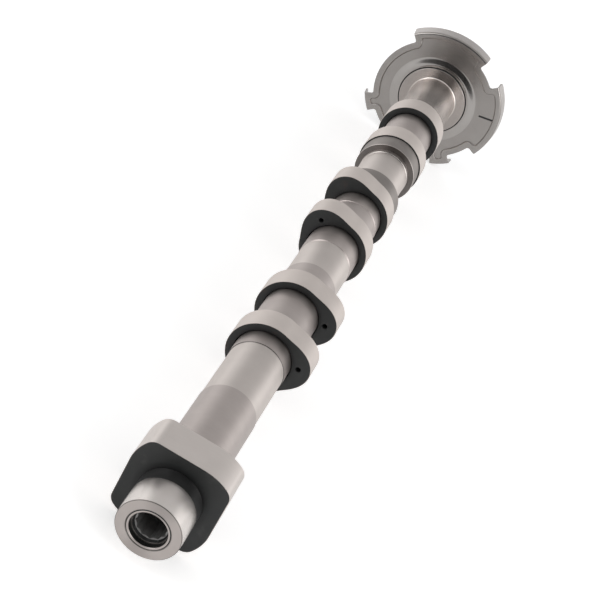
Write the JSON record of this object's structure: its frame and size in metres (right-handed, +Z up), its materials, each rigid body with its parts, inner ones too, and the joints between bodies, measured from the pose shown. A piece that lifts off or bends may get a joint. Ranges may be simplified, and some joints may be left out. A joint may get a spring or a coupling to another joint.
{
  "type": "camshaft",
  "caption": "Built-up engine camshaft: steel tube with pressed-on lobes, a rounded-square pump cam, thrust collars, an end spigot with a drive plug, and a stamped sensor wheel on the rear hub.",
  "frame": {"origin": "centre of the hub's rear face, at the mouth of the centring bore", "axes": "+Y along the shaft towards the rear, out of the hub; +Z up with the shaft lying as it comes to rest on the pump cam and the sensor wheel"},
  "size_m": [0.077, 0.449, 0.0771],
  "materials": {
    "tube_steel": "drawn steel tube with ground journals",
    "ground_steel": "turned and ground steel",
    "hub_steel": "ground journal with a turned flange",
    "lobe_steel": "ground running surface, black side faces",
    "collar_steel": "turned dark steel",
    "black_steel": "black oxide steel",
    "sheet_steel": "stamped sheet steel"
  },
  "bodies": {
    "root": {"shaft_tube": "tube_steel", "front_end_piece": "ground_steel", "drive_plug": "black_steel", "pump_cam": "lobe_steel", "lobe_1_front": "lobe_steel", "lobe_1_rear": "lobe_steel", "lobe_2_front": "lobe_steel", "lobe_2_rear": "lobe_steel", "lobe_3_front": "lobe_steel", "lobe_3_rear": "lobe_steel", "front_thrust_collar": "collar_steel", "rear_thrust_collar": "collar_steel", "rear_hub": "hub_steel", "sensor_wheel": "sheet_steel", "locating_pin": "ground_steel"}
  },
  "joints": []
}
